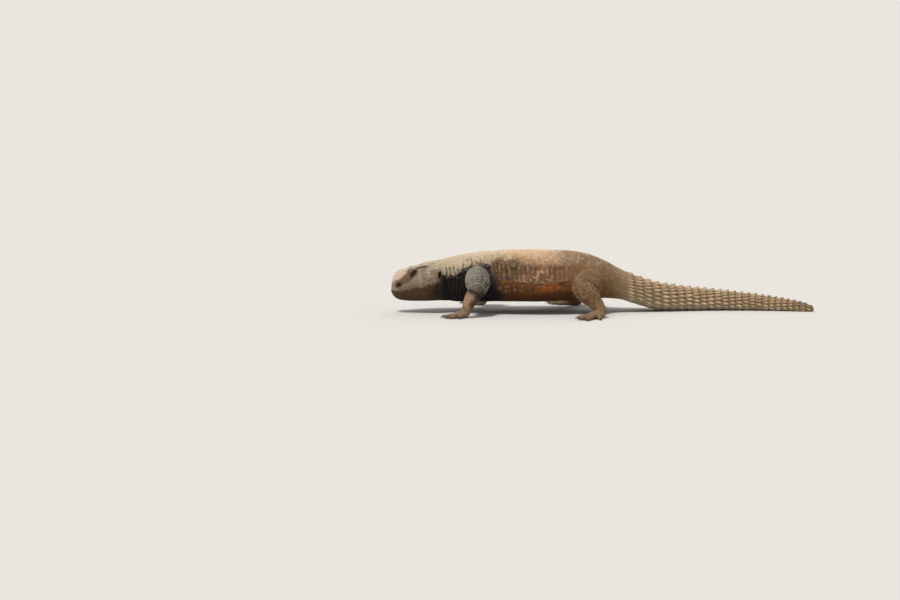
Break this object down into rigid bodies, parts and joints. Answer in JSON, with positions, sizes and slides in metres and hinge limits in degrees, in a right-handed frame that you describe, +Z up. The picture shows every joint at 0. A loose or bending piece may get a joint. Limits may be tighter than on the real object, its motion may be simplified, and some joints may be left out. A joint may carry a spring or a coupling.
{
  "type": "spiny-tailed lizard",
  "caption": "Life-size spiny-tailed lizard standing low with its head forward, a broad flat body, clawed feet and a tail ringed with spiny scales.",
  "frame": {"origin": "on the floor, under the middle of the model's box", "axes": "the snout points along -X, the left side of the animal faces -Y, +Z is up"},
  "size_m": [0.4648, 0.2008, 0.0684],
  "materials": {
    "head_skin": "matt scaly skin, grey-tan above with dark brown jaws",
    "dark_skin": "matt scaly skin, slate grey to black with pale dots",
    "back_skin": "matt scaly skin, cream and salmon above with rust-orange lower sides",
    "limb_skin": "matt scaly skin, tan-brown",
    "tail_skin": "matt horny scales, sandy tan",
    "eye": "wet gloss, dark brown",
    "claw": "satin horn, dark brown with a paler root"
  },
  "bodies": {
    "root": {"head": "head_skin", "eye_left": "eye", "eye_right": "eye", "neck": "dark_skin", "torso": "back_skin", "tail_base": "tail_skin", "tail_middle": "tail_skin", "tail_tip": "tail_skin", "upper_arm_left": "dark_skin", "upper_arm_right": "dark_skin", "forearm_left": "limb_skin", "forearm_right": "limb_skin", "hand_left": "limb_skin", "hand_right": "limb_skin", "thigh_left": "limb_skin", "thigh_right": "limb_skin", "shin_left": "limb_skin", "shin_right": "limb_skin", "foot_left": "limb_skin", "foot_right": "limb_skin"}
  },
  "joints": []
}
